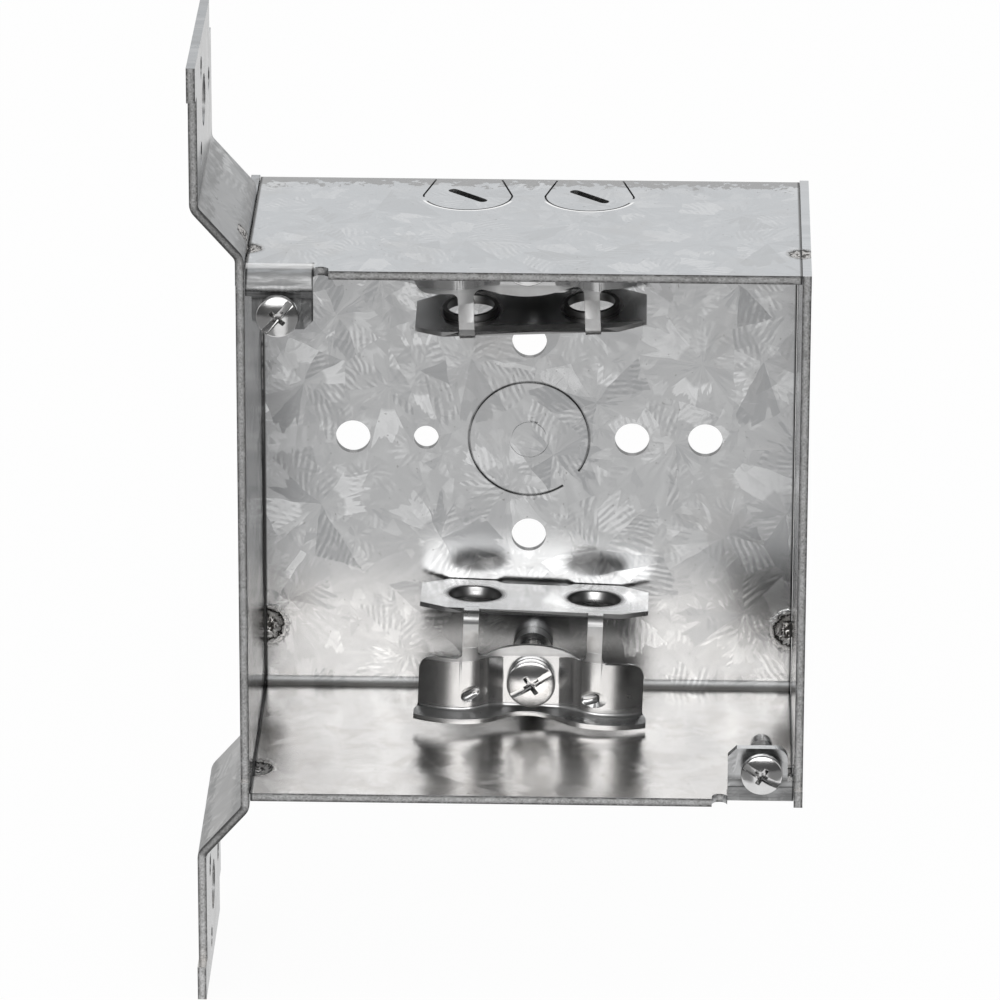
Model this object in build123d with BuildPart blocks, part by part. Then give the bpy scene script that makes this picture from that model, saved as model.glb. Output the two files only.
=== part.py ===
"""Square steel wiring box, 101.6 mm across, with a stud bracket and two armoured-cable clamps.

Millimetres. X runs to the right, Y runs into the box from its front rim and Z runs up the bracket.
The origin is the middle of the front opening, in the plane of the rim.

The box is one channel folded from sheet (top, back and bottom walls with two cover tabs), closed by a
flat side plate on the right and by the stud bracket's own plate on the left, both spot welded on.
"""

import os
from math import asin, atan, cos, degrees, hypot, radians

from build123d import *

os.makedirs("parts", exist_ok=True)

# Box: outside sizes and the sheet it is folded from
box_width = 101.6
box_height = 101.6
box_depth = 54.0
sheet = 1.6
bend_inside = 1.6
weld_gap = 0.2
side_plate_gap = 0.06

# Cover tabs, folded from the top wall at upper left and from the bottom wall at lower right
tab_width = 11.9
tab_drop = 11.2
tab_step = 1.1
tab_shoulder = 5.0
tab_chamfer = 1.6
tab_round = 2.2
tab_relief_width = 2.8
tab_relief_depth = 2.3
tab_bend_inside = 2.2
tab_run = 4.4
tab_setback = 0.7
tab_joggle = 1.6
cover_screw_from_edge = 7.6

# Cover screws, number 8, left backed out from the tabs for the cover's slots
cover_screw_radius = 2.08
cover_screw_length = 14.3
cover_screw_standoff = 2.6
cover_head_radius = 3.75
cover_head_height = 2.2

# Clamp screws, number 10
clamp_screw_radius = 2.41
clamp_head_radius = 4.5
clamp_head_height = 2.7
clamp_screw_from_wall = 8.1
screw_tip_setback = 0.8

# Shared by all screws
thread_fit = 0.05
head_rim = 0.7
tip_chamfer = 0.8
slot_width = 1.25
slot_depth = 1.0
cross_arm = 1.1
cross_span_share = 0.58
cross_depth = 1.5
cross_taper = 14.0
cover_slot_turn_upper = -50.0
cover_slot_turn_lower = 32.0
clamp_slot_turn_upper = 20.0
clamp_slot_turn_lower = -33.0

# Knockouts and holes
knockout_radius = 11.1
knockout_gap = 0.35
knockout_web = 0.4
knockout_tie = 4.0
knockout_tie_angle = -45.0
centre_mark_radius = 3.7
centre_mark_width = 0.5
centre_mark_depth = 0.2
mount_hole_radius = 3.2
ground_hole_radius = 2.3
mount_hole_inner = 19.0
mount_hole_outer = 32.5
side_knockout_spacing = 44.0

# Pry-outs for the cables, two in the top wall and two in the bottom wall
cable_spacing = 22.0
pryout_radius = 8.0
pryout_back_half = 6.0
pryout_from_back = 12.0
pryout_tie = 2.2
pryout_slot_length = 9.4
pryout_slot_width = 1.9
pryout_slot_angle = -45.0

# Spot welds along the channel's edges
weld_from_rim = 11.7
weld_from_corner = 13.2
weld_length = 3.0
weld_thickness = 0.6
weld_inner_dent_radius = 4.0
weld_inner_dent_depth = 0.8
weld_outer_dent_radius = 2.5
weld_outer_dent_depth = 0.4

# Side plate and bracket
plate_relief_depth = 0.8
plate_relief_end = 3.2
plate_corner = 2.0
bracket_length = 177.8
bracket_setback = 0.8
arm_offset = 7.94
arm_rise = 9.0
arm_start = 1.9
arm_depth = 40.0
arm_tip_height = 6.4
arm_tip_shift = 3.9
nail_hole_radius = 2.1
hanger_hole_radius = 4.65
nail_holes_from_rim = (13.4, 33.5, 11.4)
nail_holes_from_tip = (5.2, 13.6, 20.4)
hanger_hole_from_rim = 19.4
hanger_hole_from_tip = 13.0

# Cable clamps: a wavy saddle, two straps and a plate with two flared wire holes
clamp_sheet = 0.9
clamp_shift_upper = 0.0
clamp_shift_lower = 0.9
clamp_turn_upper = -2.4
clamp_turn_lower = 1.9
cable_room = 19.8
saddle_half = 20.7
saddle_height = 12.1
saddle_corner = 3.0
land_half = 4.9
land_extra = 2.0
land_hump_half = 8.5
crest_at = 13.6
crest_rise = 3.2
crest_end_fall = 1.9
lip_clearance = 1.05
lip_height = 1.7
lip_flare = 3.2
lip_flare_land = 1.9
lip_overhang = 0.7
lip_bend = 1.2
lip_end_lift = 0.75
strap_spacing = 22.8
strap_width = 2.8
strap_length = 9.1
strap_bend = 1.6
strap_root = 1.2
clamp_plate_half = 21.0
clamp_plate_fall = 1.4
clamp_plate_setback = 2.7
clamp_plate_clearance = 0.4
clamp_plate_front_cut = 2.8
clamp_plate_back_cut = 3.4
clamp_plate_end_run = 5.0
clamp_plate_waist = 1.5
clamp_plate_waist_half = 5.8
wire_hole_radius = 4.3
wire_hole_mouth = 4.85
wire_hole_from_back = 8.5
wire_collar_wall = 0.8
wire_collar_height = 1.15
wire_hole_flare = 0.5
clamp_hole_clearance = 0.35
grip_length = 4.8
grip_radius = 1.3
grip_depth = 0.5
grip_angle = 20.0
grip_at = 11.0
grip_from_lip = 5.0
boss_radius = 3.7
boss_height = 3.0

# Worked out from the sizes above
half_width = box_width / 2
half_height = box_height / 2
inner_half_height = half_height - sheet
back_inner = box_depth - sheet
bend_middle = bend_inside + sheet / 2
bend_outside = bend_inside + sheet
channel_half = half_width - sheet - weld_gap
cover_screw_x = half_width - cover_screw_from_edge
cover_screw_z = half_height - cover_screw_from_edge
cover_seat = tab_setback - cover_screw_standoff
clamp_screw_height = inner_half_height - clamp_screw_from_wall
weld_height = half_height - weld_from_corner
crest_front = back_inner - cable_room - clamp_sheet
land_front = crest_front + crest_rise
lip_level = -(inner_half_height - lip_clearance)
saddle_top = lip_level + saddle_height
grip_level = lip_level + grip_from_lip
strap_top = saddle_top + strap_length
strap_stub = strap_root + clamp_sheet
knockout_groove = (sheet - knockout_web) / 2
clamp_screw_length = box_depth - screw_tip_setback - land_front

as_built = Location((0, 0, 0))
half_turn = Location((0, 0, 0), (0, 180, 0))

# Clearance cut for a cover tab at the upper left: the tab's own strip and its round-ended relief notch
with BuildPart() as tab_clearance:
    relief_round = tab_relief_width / 2
    with BuildSketch(Plane.XY.offset(inner_half_height)):
        with Locations((-channel_half, 0)):
            Rectangle(tab_width, tab_run, align=(Align.MIN, Align.MIN))
        with Locations((-channel_half + tab_width, 0)):
            Rectangle(tab_relief_width, tab_relief_depth - relief_round, align=(Align.MIN, Align.MIN))
        with Locations((-channel_half + tab_width + relief_round, tab_relief_depth - relief_round)):
            Circle(relief_round)
    extrude(amount=sheet)

# Cover tab at the upper left: wall strip, wide bend, and a flat set back behind the rim with its tapped hole
with BuildPart() as cover_tab:
    tab_bend_middle = tab_bend_inside + sheet / 2
    strip_level = half_height - sheet / 2
    joggle_level = strip_level - tab_bend_middle
    flat_line = sheet / 2 + tab_setback
    with BuildSketch(Plane.YZ.offset(-channel_half)):
        with BuildLine():
            Line((tab_run, strip_level), (sheet / 2 + tab_bend_middle, strip_level))
            TangentArc((sheet / 2 + tab_bend_middle, strip_level), (sheet / 2, joggle_level), tangent=(-1, 0))
            joggle_middle = ((sheet / 2 + flat_line) / 2, joggle_level - tab_joggle / 2)
            step_back = TangentArc((sheet / 2, joggle_level), joggle_middle, tangent=(0, -1))
            TangentArc(joggle_middle, (flat_line, joggle_level - tab_joggle), tangent=step_back % 1)
            Line((flat_line, joggle_level - tab_joggle), (flat_line, half_height - tab_drop))
        trace(line_width=sheet)
    extrude(amount=tab_width)
    with BuildSketch(Plane.XZ):
        with Locations((-channel_half, half_height - tab_shoulder)):
            Rectangle(tab_step, tab_drop, align=(Align.MIN, Align.MAX))
    extrude(amount=-(sheet + tab_setback), mode=Mode.SUBTRACT)
    foot_edges = cover_tab.edges().filter_by(Axis.Y).group_by(Axis.Z)[0].sort_by(Axis.X)
    fillet(foot_edges[0], radius=tab_round)
    foot_edges = cover_tab.edges().filter_by(Axis.Y).group_by(Axis.Z)[0].sort_by(Axis.X)
    chamfer(foot_edges[-1], length=tab_chamfer)
    with BuildSketch(Plane.XZ):
        with Locations((-cover_screw_x, cover_screw_z)):
            Circle(cover_screw_radius + thread_fit)
    extrude(amount=-(sheet + tab_setback), mode=Mode.SUBTRACT)

# Dents left by the welding electrodes: a small one outside, across both sheets, and a wide one inside
with BuildPart() as outer_dent:
    outer_ball = (weld_outer_dent_radius**2 + weld_outer_dent_depth**2) / (2 * weld_outer_dent_depth)
    with Locations((0, 0, sheet - weld_outer_dent_depth + outer_ball)):
        Sphere(outer_ball)
    Box(box_width, box_width, sheet, align=(Align.CENTER, Align.CENTER, Align.MIN), mode=Mode.INTERSECT)

with BuildPart() as inner_dent:
    inner_ball = (weld_inner_dent_radius**2 + weld_inner_dent_depth**2) / (2 * weld_inner_dent_depth)
    with Locations((0, 0, weld_inner_dent_depth - inner_ball)):
        Sphere(inner_ball)
    Box(box_width, box_width, sheet, align=(Align.CENTER, Align.CENTER, Align.MIN), mode=Mode.INTERSECT)

# Spot welds at each side: two at the rim's ends and two in the back corners, Z towards the outside
weld_places = {
    side: (
        Location((side * channel_half, weld_from_rim, inner_half_height)),
        Location((side * channel_half, weld_from_rim, -inner_half_height), (180, 0, 0)),
        Location((side * channel_half, back_inner, weld_height), (-90, 0, 0)),
        Location((side * channel_half, back_inner, -weld_height), (-90, 0, 0)),
    )
    for side in (-1, 1)
}
weld_gaps = {-1: weld_gap, 1: side_plate_gap}

# Channel: top wall, back and bottom wall in one sheet
with BuildPart() as body:
    with BuildSketch(Plane.YZ):
        with BuildLine():
            FilletPolyline(
                (0, half_height - sheet / 2),
                (box_depth - sheet / 2, half_height - sheet / 2),
                (box_depth - sheet / 2, -half_height + sheet / 2),
                (0, -half_height + sheet / 2),
                radius=bend_middle,
            )
        trace(line_width=sheet)
    extrude(amount=channel_half, both=True)

    with Locations(as_built, half_turn):
        add(tab_clearance.part, mode=Mode.SUBTRACT)
        add(cover_tab.part)

    # Tapped bosses for the clamp screws, raised from the back wall
    with BuildSketch(Plane.XZ.offset(-back_inner)):
        with Locations((clamp_shift_upper, clamp_screw_height), (clamp_shift_lower, -clamp_screw_height)):
            Circle(boss_radius)
    extrude(amount=boss_height)
    with BuildSketch(Plane.XZ.offset(-box_depth)):
        with Locations((clamp_shift_upper, clamp_screw_height), (clamp_shift_lower, -clamp_screw_height)):
            Circle(clamp_screw_radius + thread_fit)
    extrude(amount=sheet + boss_height, mode=Mode.SUBTRACT)

    # Holes in the back
    with BuildSketch(Plane.XZ.offset(-box_depth)):
        with Locations(
            (-mount_hole_outer, 0),
            (mount_hole_outer, 0),
            (mount_hole_inner, 0),
            (0, mount_hole_inner),
            (0, -mount_hole_inner),
        ):
            Circle(mount_hole_radius)
        with Locations((-mount_hole_inner, 0)):
            Circle(ground_hole_radius)
    extrude(amount=sheet, mode=Mode.SUBTRACT)

    # Groove around the round knockout on both faces, broken by its tie, and the knockout's centre mark
    for groove_floor in (back_inner + knockout_groove, box_depth):
        with BuildSketch(Plane.XZ.offset(-groove_floor)):
            Circle(knockout_radius + knockout_gap / 2)
            Circle(knockout_radius - knockout_gap / 2, mode=Mode.SUBTRACT)
            with Locations(Location((0, 0, 0), (0, 0, knockout_tie_angle))):
                with Locations((knockout_radius, 0)):
                    Rectangle(knockout_tie, knockout_tie, mode=Mode.SUBTRACT)
        extrude(amount=knockout_groove, mode=Mode.SUBTRACT)
    with BuildSketch(Plane.XZ.offset(-back_inner)):
        Circle(centre_mark_radius)
        Circle(centre_mark_radius - centre_mark_width, mode=Mode.SUBTRACT)
    extrude(amount=-centre_mark_depth, mode=Mode.SUBTRACT)

    # Pry-outs: a groove on both faces, open to the back bend and broken by a tie, and a lever slot
    widest = box_depth - pryout_from_back
    for groove_floor in (half_height - knockout_groove, inner_half_height):
        for level, amount in ((groove_floor, knockout_groove), (-groove_floor, -knockout_groove)):
            with BuildSketch(Plane.XY.offset(level)):
                for side in (-1, 1):
                    middle = side * cable_spacing / 2
                    hinge_line = box_depth - bend_outside
                    with BuildLine():
                        Line((middle - pryout_back_half, hinge_line), (middle - pryout_radius, widest))
                        ThreePointArc(
                            (middle - pryout_radius, widest),
                            (middle, widest - pryout_radius),
                            (middle + pryout_radius, widest),
                        )
                        Line((middle + pryout_radius, widest), (middle + pryout_back_half, hinge_line))
                    trace(line_width=knockout_gap)
                    with Locations((middle + side * pryout_radius, widest - pryout_tie)):
                        Rectangle(pryout_tie, pryout_tie, mode=Mode.SUBTRACT)
            extrude(amount=amount, mode=Mode.SUBTRACT)
    with BuildSketch(Plane.XY):
        with Locations((-cable_spacing / 2, widest), (cable_spacing / 2, widest)):
            SlotOverall(pryout_slot_length, pryout_slot_width, rotation=pryout_slot_angle)
    extrude(amount=half_height, both=True, mode=Mode.SUBTRACT)

    # Spot welds: a bead that bridges the gap to each side plate, dented by the electrodes
    for side in (-1, 1):
        with Locations(*weld_places[side]):
            add(outer_dent.part, mode=Mode.SUBTRACT)
            add(inner_dent.part, mode=Mode.SUBTRACT)
            with Locations((side * weld_gaps[side] / 2, 0, sheet / 2)):
                Box(weld_gaps[side], weld_length, weld_thickness)
            with Locations((-side * weld_gap / 2, 0, sheet / 2)):
                Box(weld_gap, weld_length, weld_thickness)

# Side plate on the right, flat, relieved along its front edge between the corners
with BuildPart() as side_plate:
    with BuildSketch(Plane.YZ.offset(channel_half + side_plate_gap)):
        with Locations((box_depth / 2, 0)):
            Rectangle(box_depth, box_height)
        fillet(vertices().group_by(Axis.X)[-1], radius=plate_corner)
        with Locations((0, 0)):
            Rectangle(
                plate_relief_depth,
                box_height - 2 * plate_relief_end,
                align=(Align.MIN, Align.CENTER),
                mode=Mode.SUBTRACT,
            )
    extrude(amount=sheet)
    plate_inside = channel_half + side_plate_gap
    for groove_start in (plate_inside, plate_inside + sheet - knockout_groove):
        with BuildSketch(Plane.YZ.offset(groove_start)):
            for side in (-1, 1):
                with Locations((box_depth / 2, side * side_knockout_spacing / 2)):
                    Circle(knockout_radius + knockout_gap / 2)
                    Circle(knockout_radius - knockout_gap / 2, mode=Mode.SUBTRACT)
                    with Locations((0, -knockout_radius)):
                        Rectangle(knockout_tie, knockout_tie, mode=Mode.SUBTRACT)
        extrude(amount=knockout_groove, mode=Mode.SUBTRACT)
    with Locations(*weld_places[1]):
        add(outer_dent.part, mode=Mode.SUBTRACT)

# Bracket: the left side plate with an offset arm above and below, folded from one strip
with BuildPart() as bracket:
    strip_middle = -half_width + sheet / 2
    bend_level = half_height + arm_start
    half_profile = (
        (strip_middle, 0),
        (strip_middle, bend_level),
        (strip_middle - arm_offset, bend_level + arm_rise),
        (strip_middle - arm_offset, bracket_length / 2),
    )
    strip_start = bracket_setback - arm_tip_shift
    with BuildSketch(Plane.XZ.offset(-strip_start)):
        with BuildLine():
            FilletPolyline(*half_profile, radius=bend_middle)
            mirror(about=Plane.XZ)
        trace(line_width=sheet)
    extrude(amount=strip_start - box_depth)
    with BuildSketch(Plane.YZ):
        with Locations((bracket_setback, 0)):
            Rectangle(box_depth - bracket_setback, box_height, align=(Align.MIN, Align.CENTER))
        fillet(vertices().group_by(Axis.X)[-1], radius=plate_corner)
        with Locations((bracket_setback, 0)):
            Rectangle(arm_depth, bracket_length, align=(Align.MIN, Align.CENTER))
        for side in (-1, 1):
            tip_middle = side * (bracket_length - arm_tip_height) / 2
            with Locations((bracket_setback - arm_tip_shift, tip_middle)):
                Rectangle(arm_depth, arm_tip_height, align=(Align.MIN, Align.CENTER))
            with Locations((bracket_setback + arm_depth, tip_middle)):
                Rectangle(arm_tip_shift, arm_tip_height, align=(Align.MAX, Align.CENTER), mode=Mode.SUBTRACT)
            for from_rim, from_tip in zip(nail_holes_from_rim, nail_holes_from_tip):
                with Locations((from_rim, side * (bracket_length / 2 - from_tip))):
                    Circle(nail_hole_radius, mode=Mode.SUBTRACT)
            with Locations((hanger_hole_from_rim, side * (bracket_length / 2 - hanger_hole_from_tip))):
                Circle(hanger_hole_radius, mode=Mode.SUBTRACT)
        with Locations((bracket_setback, 0)):
            Rectangle(
                plate_relief_depth,
                box_height - 2 * plate_relief_end,
                align=(Align.MIN, Align.CENTER),
                mode=Mode.SUBTRACT,
            )
    extrude(amount=-box_width, mode=Mode.INTERSECT)
    with Locations(*weld_places[-1]):
        add(outer_dent.part, mode=Mode.SUBTRACT)

# Line of the clamp saddle's front face, seen from above: flat land, two crests, slightly falling ends
with BuildLine() as saddle_line:
    swing_x = (land_half + crest_at) / 2
    swing_y = land_front - crest_rise / 2
    rise_in = TangentArc((land_half, land_front), (swing_x, swing_y), tangent=(1, 0))
    rise_out = TangentArc((swing_x, swing_y), (crest_at, crest_front), tangent=rise_in % 1)
    TangentArc((crest_at, crest_front), (saddle_half, crest_front + crest_end_fall), tangent=(1, 0))
    mirror(about=Plane.YZ)
    Line((-land_half, land_front), (land_half, land_front))
saddle_path = saddle_line.wires()[0]
saddle_start = saddle_path @ 0
saddle_heading = saddle_path % 0
into_box = 1 if saddle_heading.X > 0 else -1
saddle_plane = Plane(
    origin=saddle_start,
    x_dir=Vector(0, 0, into_box).cross(saddle_heading),
    z_dir=saddle_heading * into_box,
)

# The saddle's slope beside each crest is an arc: how steep and how deep it is at a distance from the middle
slope_run = (crest_at - land_half) / 2
slope_radius = (slope_run**2 + (crest_rise / 2) ** 2) / crest_rise


def slope_tilt(from_middle):
    return degrees(asin((crest_at - from_middle) / slope_radius))


def slope_depth(from_middle):
    return crest_front + slope_radius * (1 - cos(radians(slope_tilt(from_middle))))


# Front edge of the lip, seen from above: a gentler wave than the saddle's
with BuildLine() as lip_line:
    lip_end = saddle_half + lip_overhang
    lip_crest = crest_front + clamp_sheet / 2 - lip_flare
    lip_land = land_front + clamp_sheet / 2 - lip_flare_land
    lip_swing = (crest_at / 2, (lip_crest + lip_land) / 2)
    lip_in = TangentArc((0, lip_land), lip_swing, tangent=(1, 0))
    TangentArc(lip_swing, (crest_at, lip_crest), tangent=lip_in % 1)
    TangentArc((crest_at, lip_crest), (lip_end, lip_crest + crest_end_fall), tangent=(1, 0))
    Polyline((lip_end, lip_crest + crest_end_fall), (lip_end, 0), (0, 0))
    mirror(about=Plane.YZ)

# Grips pressed into the saddle's slopes: round-ended hollows that follow the slope
grip_tilt = slope_tilt(grip_at)
grip_surface = slope_depth(grip_at)
with BuildPart() as grip_hollows:
    for side in (-1, 1):
        slope_place = Location((side * grip_at, grip_surface, grip_level), (0, 0, -side * grip_tilt))
        with Locations(slope_place * Location((0, grip_depth - grip_radius, 0), (0, 90 - grip_angle, 0))):
            Cylinder(grip_radius, grip_length - 2 * grip_radius)
            with Locations((0, 0, grip_length / 2 - grip_radius), (0, 0, grip_radius - grip_length / 2)):
                Sphere(grip_radius)

# Cable clamp, one stamping as it sits at the bottom: saddle with lip, two straps, plate with wire holes
with BuildPart() as clamp_form:
    lip_middle = clamp_sheet / 2
    lip_fall = (lip_height - lip_end_lift) / lip_flare
    lip_reach = lip_flare + clamp_sheet
    with BuildSketch(saddle_plane):
        with BuildLine():
            FilletPolyline(
                (lip_middle, saddle_top + max(land_extra, strap_stub)),
                (lip_middle, lip_level + lip_height),
                (lip_middle - lip_reach, lip_level + lip_height - lip_fall * lip_reach),
                radius=lip_bend,
            )
        trace(line_width=clamp_sheet)
    sweep(path=saddle_path)
    with BuildSketch(Plane.XY.offset(lip_level - sheet)):
        make_face(lip_line.wires()[0])
    extrude(amount=saddle_height, mode=Mode.SUBTRACT)
    with BuildSketch(Plane.XZ):
        with Locations((0, lip_level - sheet)):
            Rectangle(2 * lip_end, saddle_height + sheet, align=(Align.CENTER, Align.MIN))
        with Locations((-strap_spacing / 2, saddle_top), (strap_spacing / 2, saddle_top)):
            Rectangle(strap_width, strap_stub, align=(Align.CENTER, Align.MIN))
        strap_roots = vertices().filter_by(lambda v: abs(abs(v.X) - strap_spacing / 2) < strap_width)
        fillet(strap_roots.group_by(Axis.Y)[0], radius=strap_root)
        with BuildLine():
            hump_top = (0, saddle_top + land_extra)
            ThreePointArc((-land_hump_half, saddle_top), hump_top, (land_hump_half, saddle_top))
            Line((land_hump_half, saddle_top), (-land_hump_half, saddle_top))
        make_face()
    extrude(amount=-box_depth, mode=Mode.INTERSECT)
    top_corners = clamp_form.edges().filter_by(lambda e: abs(e.center().X) > saddle_half - clamp_sheet / 2)
    top_corners = top_corners.filter_by(lambda e: abs(e.center().Z - saddle_top) < clamp_sheet / 10)
    fillet(top_corners, radius=saddle_corner)
    add(grip_hollows.part, mode=Mode.SUBTRACT)

    plate_front = crest_front + clamp_plate_setback
    plate_back = back_inner - clamp_plate_clearance
    plate_run = hypot(plate_back - plate_front, clamp_plate_fall)
    plate_slope = clamp_plate_fall / (plate_back - plate_front)
    plate_tilt = degrees(atan(plate_slope))
    plate_plane = Plane(origin=(0, plate_front, strap_top), z_dir=(0, 0, 1)).rotated((-plate_tilt, 0, 0))
    with BuildSketch(plate_plane) as clamp_plate_outline:
        with BuildLine():
            Polyline(
                (0, 0),
                (clamp_plate_half - clamp_plate_end_run, 0),
                (clamp_plate_half, clamp_plate_front_cut),
                (clamp_plate_half, plate_run - clamp_plate_back_cut),
                (clamp_plate_half - clamp_plate_end_run, plate_run),
                (clamp_plate_waist_half + clamp_plate_waist, plate_run),
                (clamp_plate_waist_half, plate_run - clamp_plate_waist),
                (0, plate_run - clamp_plate_waist),
            )
            mirror(about=Plane.YZ)
        make_face()
    extrude(amount=-clamp_sheet)
    strap_line = crest_front + clamp_sheet / 2
    strap_neck = strap_top - strap_bend - 2 * clamp_sheet
    strap_inner = (strap_spacing - strap_width) / 2
    strap_outer = (strap_spacing + strap_width) / 2
    foot_thickness = clamp_sheet / cos(radians(slope_tilt(strap_spacing / 2)))
    plate_middle = strap_top - clamp_sheet / 2
    for side in (-1, 1):
        with BuildSketch(Plane.XY.offset(saddle_top + strap_stub)):
            with BuildLine():
                Polyline(
                    (side * strap_inner, slope_depth(strap_inner)),
                    (side * strap_outer, slope_depth(strap_outer)),
                    (side * strap_outer, slope_depth(strap_outer) + foot_thickness),
                    (side * strap_inner, slope_depth(strap_inner) + foot_thickness),
                    close=True,
                )
            make_face()
        with BuildSketch(Plane.XY.offset(strap_neck)):
            with Locations((side * strap_spacing / 2, strap_line)):
                Rectangle(strap_width, clamp_sheet)
        loft()
        with BuildSketch(Plane.YZ.offset(side * strap_spacing / 2)):
            with BuildLine():
                FilletPolyline(
                    (strap_line, strap_neck),
                    (strap_line, plate_middle + plate_slope * (plate_front - strap_line)),
                    (plate_front + clamp_sheet, plate_middle - plate_slope * clamp_sheet),
                    radius=strap_bend,
                )
            trace(line_width=clamp_sheet)
        extrude(amount=strap_width / 2, both=True)
    wire_hole_at = plate_run - wire_hole_from_back
    with BuildSketch(plate_plane):
        with Locations((-cable_spacing / 2, wire_hole_at), (cable_spacing / 2, wire_hole_at)):
            Circle(wire_hole_radius + wire_collar_wall)
    extrude(amount=-(clamp_sheet + wire_collar_height))
    hole_depth = clamp_sheet + wire_collar_height
    hole_taper = degrees(atan((wire_hole_mouth - wire_hole_radius) / hole_depth))
    with BuildSketch(plate_plane):
        with Locations((-cable_spacing / 2, wire_hole_at), (cable_spacing / 2, wire_hole_at)):
            Circle(wire_hole_mouth)
    extrude(amount=-hole_depth, taper=hole_taper, mode=Mode.SUBTRACT)
    hole_rims = clamp_form.edges().filter_by(GeomType.CIRCLE)
    hole_rims = hole_rims.filter_by(lambda e: abs(e.radius - wire_hole_mouth) < thread_fit)
    fillet(hole_rims, radius=wire_hole_flare)
    with BuildSketch(Plane.XZ):
        with Locations((0, -clamp_screw_height)):
            Circle(clamp_screw_radius + clamp_hole_clearance)
    extrude(amount=-back_inner, mode=Mode.SUBTRACT)

# Clamps in place; each hangs on one screw and sits a little askew about it
with BuildPart() as clamp_lower:
    with Locations(Location((clamp_shift_lower, 0, -clamp_screw_height), (0, clamp_turn_lower, 0))):
        with Locations((0, 0, clamp_screw_height)):
            add(clamp_form.part)

with BuildPart() as clamp_upper:
    with Locations(Location((clamp_shift_upper, 0, clamp_screw_height), (0, clamp_turn_upper, 0))):
        with Locations(Location((0, 0, -clamp_screw_height), (0, 180, 0))):
            add(clamp_form.part)

# Screw forms, head towards -Y with the seat at the origin
with BuildPart() as cover_screw_form:
    with BuildSketch(Plane.XY):
        with BuildLine():
            Polyline(
                (cover_head_radius, -head_rim),
                (cover_head_radius, 0),
                (cover_screw_radius, 0),
                (cover_screw_radius, cover_screw_length - tip_chamfer),
                (cover_screw_radius - tip_chamfer, cover_screw_length),
                (0, cover_screw_length),
                (0, -cover_head_height),
            )
            TangentArc((0, -cover_head_height), (cover_head_radius, -head_rim), tangent=(1, 0))
        make_face()
    revolve(axis=Axis.Y)
    with BuildSketch(Plane.XZ.offset(cover_head_height)):
        Rectangle(2 * cover_head_radius, slot_width)
    extrude(amount=-slot_depth, mode=Mode.SUBTRACT)
    with BuildSketch(Plane.XZ.offset(cover_head_height)):
        Rectangle(2 * cover_head_radius * cross_span_share, cross_arm)
        Rectangle(cross_arm, 2 * cover_head_radius * cross_span_share)
    extrude(amount=-cross_depth, taper=cross_taper, mode=Mode.SUBTRACT)

with BuildPart() as clamp_screw_form:
    with BuildSketch(Plane.XY):
        with BuildLine():
            Polyline(
                (clamp_head_radius, -head_rim),
                (clamp_head_radius, 0),
                (clamp_screw_radius, 0),
                (clamp_screw_radius, clamp_screw_length - tip_chamfer),
                (clamp_screw_radius - tip_chamfer, clamp_screw_length),
                (0, clamp_screw_length),
                (0, -clamp_head_height),
            )
            TangentArc((0, -clamp_head_height), (clamp_head_radius, -head_rim), tangent=(1, 0))
        make_face()
    revolve(axis=Axis.Y)
    with BuildSketch(Plane.XZ.offset(clamp_head_height)):
        Rectangle(2 * clamp_head_radius, slot_width)
    extrude(amount=-slot_depth, mode=Mode.SUBTRACT)
    with BuildSketch(Plane.XZ.offset(clamp_head_height)):
        Rectangle(2 * clamp_head_radius * cross_span_share, cross_arm)
        Rectangle(cross_arm, 2 * clamp_head_radius * cross_span_share)
    extrude(amount=-cross_depth, taper=cross_taper, mode=Mode.SUBTRACT)

# Screws in place, each turned to its own slot angle
with BuildPart() as cover_screw_upper:
    with Locations(Location((-cover_screw_x, cover_seat, cover_screw_z), (0, cover_slot_turn_upper, 0))):
        add(cover_screw_form.part)

with BuildPart() as cover_screw_lower:
    with Locations(Location((cover_screw_x, cover_seat, -cover_screw_z), (0, cover_slot_turn_lower, 0))):
        add(cover_screw_form.part)

with BuildPart() as clamp_screw_upper:
    upper_seat = (clamp_shift_upper, land_front, clamp_screw_height)
    with Locations(Location(upper_seat, (0, clamp_slot_turn_upper, 0))):
        add(clamp_screw_form.part)

with BuildPart() as clamp_screw_lower:
    lower_seat = (clamp_shift_lower, land_front, -clamp_screw_height)
    with Locations(Location(lower_seat, (0, clamp_slot_turn_lower, 0))):
        add(clamp_screw_form.part)

for node, label in (
    (body, "body"),
    (side_plate, "side_plate"),
    (bracket, "bracket"),
    (clamp_upper, "clamp_upper"),
    (clamp_lower, "clamp_lower"),
    (clamp_screw_upper, "clamp_screw_upper"),
    (clamp_screw_lower, "clamp_screw_lower"),
    (cover_screw_upper, "cover_screw_upper"),
    (cover_screw_lower, "cover_screw_lower"),
):
    node.part.label = label
    export_step(node.part, f"parts/{label}.step")
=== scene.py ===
"""Looks of the square wiring box: zinc materials, threaded screws, a white stage, light and the camera.

Metres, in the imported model's frame: X to the right, Y into the box from its rim, Z up the bracket.
Materials work in millimetres of the object's own coordinates, so their patterns move with each piece.
"""

from math import cos, pi, radians, sin, tau
from typing import NamedTuple

import bmesh
import bpy
from mathutils import Matrix, Vector


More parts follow.
